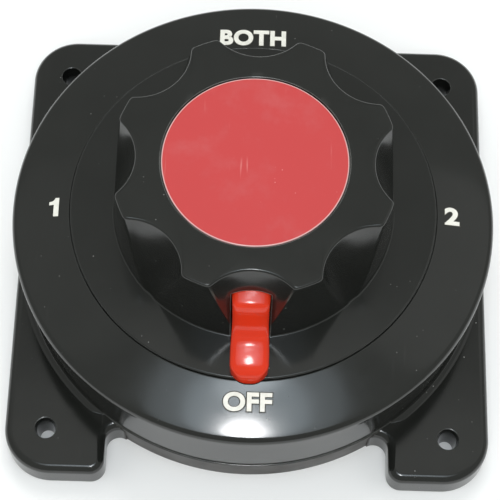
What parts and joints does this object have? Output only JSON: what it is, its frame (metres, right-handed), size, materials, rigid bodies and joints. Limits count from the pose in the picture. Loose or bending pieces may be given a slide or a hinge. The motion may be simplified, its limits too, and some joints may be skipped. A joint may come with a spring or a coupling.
{
  "type": "battery selector switch",
  "caption": "Marine battery selector switch: square-footed black drum housing, dial cover and a lobed rotary knob with a red pointer.",
  "frame": {"origin": "centre of the mounting plane, at the middle of the housing's underside", "axes": "+Z along the knob's axis, away from the mounting surface; +Y towards the BOTH mark, -Y towards the OFF mark; +X towards mark 2"},
  "size_m": [0.134, 0.136, 0.0659],
  "materials": {
    "black_plastic": "glossy moulded",
    "red_plastic": "glossy moulded",
    "red_label": "printed foil, satin",
    "rubber_seal": "matt",
    "brown_phenolic": "satin moulded phenolic",
    "copper": "bright copper",
    "brass": "machined",
    "spring_steel": "drawn wire and strip",
    "plated_steel": "stainless"
  },
  "bodies": {
    "housing": {"base_housing": "black_plastic", "cover_gasket": "rubber_seal", "dial_cover": "black_plastic", "cover_screw_1": "plated_steel", "cover_screw_2": "plated_steel", "cover_screw_3": "plated_steel", "cover_screw_4": "plated_steel", "terminal_plate": "brown_phenolic", "fixed_contact_1": "copper", "fixed_contact_2": "copper", "common_contact": "copper", "terminal_stud_1": "brass", "flat_washer_1": "brass", "jam_nut_1": "brass", "lock_washer_1": "plated_steel", "cable_nut_1": "brass", "terminal_stud_2": "brass", "flat_washer_2": "brass", "jam_nut_2": "brass", "lock_washer_2": "plated_steel", "cable_nut_2": "brass", "terminal_stud_common": "brass", "flat_washer_common": "brass", "jam_nut_common": "brass", "lock_washer_common": "plated_steel", "cable_nut_common": "brass", "shaft_bushing": "brass", "shaft_seal": "rubber_seal", "seal_retainer": "plated_steel"},
    "knob_and_rotor": {"shaft": "plated_steel", "rotor": "brown_phenolic", "contact_finger": "copper", "contact_spring_1": "spring_steel", "contact_spring_2": "spring_steel", "detent_spring": "spring_steel", "rotor_washer": "plated_steel", "rotor_screw": "plated_steel", "knob": "black_plastic", "knob_washer": "plated_steel", "knob_screw": "plated_steel", "pointer": "red_plastic", "label_disc": "red_label"}
  },
  "joints": [
    {"name": "knob_turn", "type": "hinge", "parent": "housing", "child": "knob_and_rotor", "pos_m": [0, 0, 0.05], "axis": [0, 0, 1], "continuous": true, "deforming": ["detent_spring"]}
  ]
}
